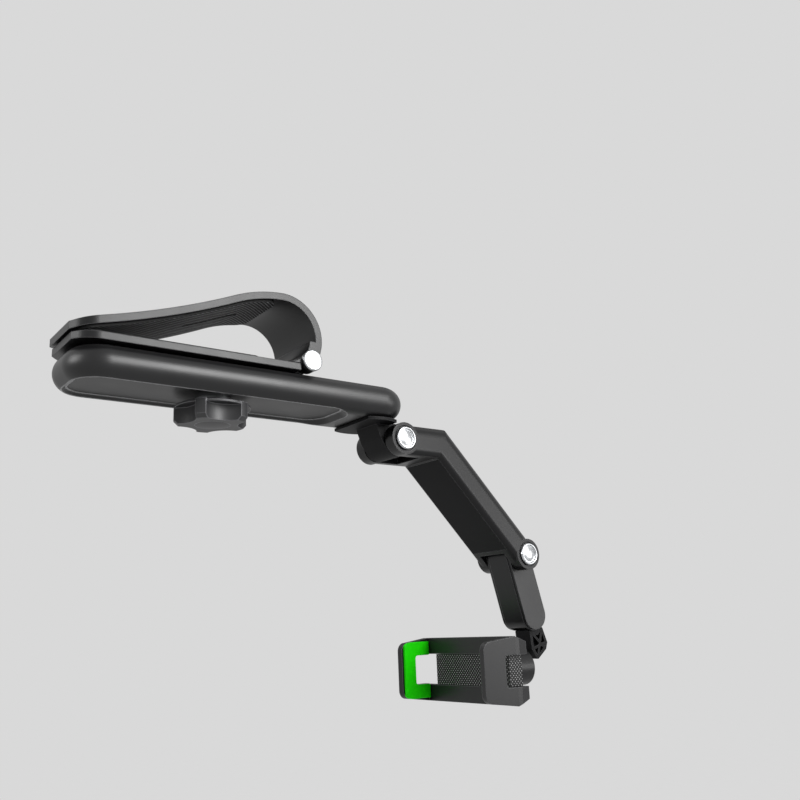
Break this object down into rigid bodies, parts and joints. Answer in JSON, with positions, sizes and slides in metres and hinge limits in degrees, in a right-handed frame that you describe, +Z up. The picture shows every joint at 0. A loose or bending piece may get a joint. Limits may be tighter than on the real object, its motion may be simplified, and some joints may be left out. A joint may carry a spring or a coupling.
{
  "type": "car phone holder",
  "caption": "Sun visor phone holder: a sprung clip on a swivelling lozenge body with a lobed knob, a folding two-part arm and a spring-loaded phone clamp on a ball joint.",
  "frame": {"origin": "where the knob's axis meets the top of the lower clip pad", "axes": "+X along the body towards the arm, +Y along the hinge pins, +Z up, out of the lower clip pad"},
  "size_m": [0.2369, 0.067, 0.1731],
  "materials": {
    "satin_plastic": "satin",
    "dark_plastic": "matte",
    "pad_rubber": "matte",
    "green_rubber": "matte",
    "chrome": "polished",
    "steel": "satin"
  },
  "bodies": {
    "clip_base": {"lower_jaw": "satin_plastic", "lower_jaw_pad": "pad_rubber", "clip_pin": "steel", "clip_spring": "steel", "pivot_nut": "steel"},
    "upper_clip": {"upper_jaw": "satin_plastic", "upper_jaw_pad": "pad_rubber", "clip_cap_front": "chrome", "clip_cap_rear": "chrome"},
    "body": {"body_shell": "satin_plastic", "base_cover": "dark_plastic"},
    "knob_set": {"knob": "dark_plastic", "knob_cap": "dark_plastic", "knob_screw": "steel", "knob_washer": "steel"},
    "turntable": {"turntable_knuckle": "satin_plastic", "turntable_screw": "steel", "turntable_washer": "steel"},
    "arm": {"arm_shell": "satin_plastic", "arm_cover": "dark_plastic", "elbow_pin_upper": "steel", "elbow_cap_upper_front": "chrome", "elbow_cap_upper_rear": "chrome", "elbow_washers_upper": "pad_rubber", "elbow_pin_lower": "steel", "elbow_cap_lower_front": "chrome", "elbow_cap_lower_rear": "chrome", "elbow_washers_lower": "pad_rubber"},
    "link": {"link_core": "satin_plastic", "link_cover_front": "satin_plastic", "link_cover_rear": "satin_plastic", "wrist_pin": "steel"},
    "bracket": {"ribbed_bracket": "dark_plastic", "ball_stud": "chrome"},
    "ball_cup": {"ball_liner": "pad_rubber"},
    "nut": {"ring_nut": "satin_plastic"},
    "clamp": {"clamp_housing": "satin_plastic", "back_pad": "pad_rubber", "fixed_jaw_pad": "green_rubber", "clamp_spring_upper": "steel", "clamp_spring_lower": "steel"},
    "slider": {"slider_jaw": "satin_plastic", "slider_jaw_pad": "green_rubber"}
  },
  "joints": [
    {"name": "clip_hinge", "type": "hinge", "parent": "clip_base", "child": "upper_clip", "pos_m": [0.0357, 0, 0.0008], "axis": [0, 1, 0], "range_deg": [0, 25], "stiffness_Nm_per_rad": 0.8, "springref_deg": -34.38, "deforming": ["clip_spring"]},
    {"name": "body_swivel", "type": "hinge", "parent": "clip_base", "child": "body", "pos_m": [0, 0, -0.00915], "axis": [0, 0, 1], "continuous": true},
    {"name": "knob_turn", "type": "hinge", "parent": "body", "child": "knob_set", "pos_m": [0, 0, -0.0235], "axis": [0, 0, 1], "continuous": true},
    {"name": "turntable_turn", "type": "hinge", "parent": "body", "child": "turntable", "pos_m": [0.0745, 0, -0.018], "axis": [0, 0, 1], "continuous": true},
    {"name": "upper_elbow", "type": "hinge", "parent": "turntable", "child": "arm", "pos_m": [0.0865, 0, -0.0266], "axis": [0, 1, 0], "range_deg": [-5, 95]},
    {"name": "lower_elbow", "type": "hinge", "parent": "arm", "child": "link", "pos_m": [0.15763, 0, -0.07695], "axis": [0, 1, 0], "range_deg": [-35, 60]},
    {"name": "wrist", "type": "hinge", "parent": "link", "child": "bracket", "pos_m": [0.16551, 0, -0.10538], "axis": [0, 1, 0], "range_deg": [-20, 20]},
    {"name": "ball_pan", "type": "hinge", "parent": "bracket", "child": "ball_cup", "pos_m": [0.15801, 0, -0.12948], "axis": [0, 0, 1], "range_deg": [-12, 12]},
    {"name": "ball_tilt", "type": "hinge", "parent": "ball_cup", "child": "nut", "pos_m": [0.15801, 0, -0.12948], "axis": [0, 1, 0], "range_deg": [-45, 2]},
    {"name": "clamp_spin", "type": "hinge", "parent": "nut", "child": "clamp", "pos_m": [0.15801, 0, -0.12948], "axis": [1, 0, 0], "continuous": true},
    {"name": "clamp_slide", "type": "slide", "parent": "clamp", "child": "slider", "axis": [0, 1, 0], "range_m": [0, 0.02], "stiffness_N_per_m": 200, "springref_m": -0.02, "deforming": ["clamp_spring_upper", "clamp_spring_lower"]}
  ]
}
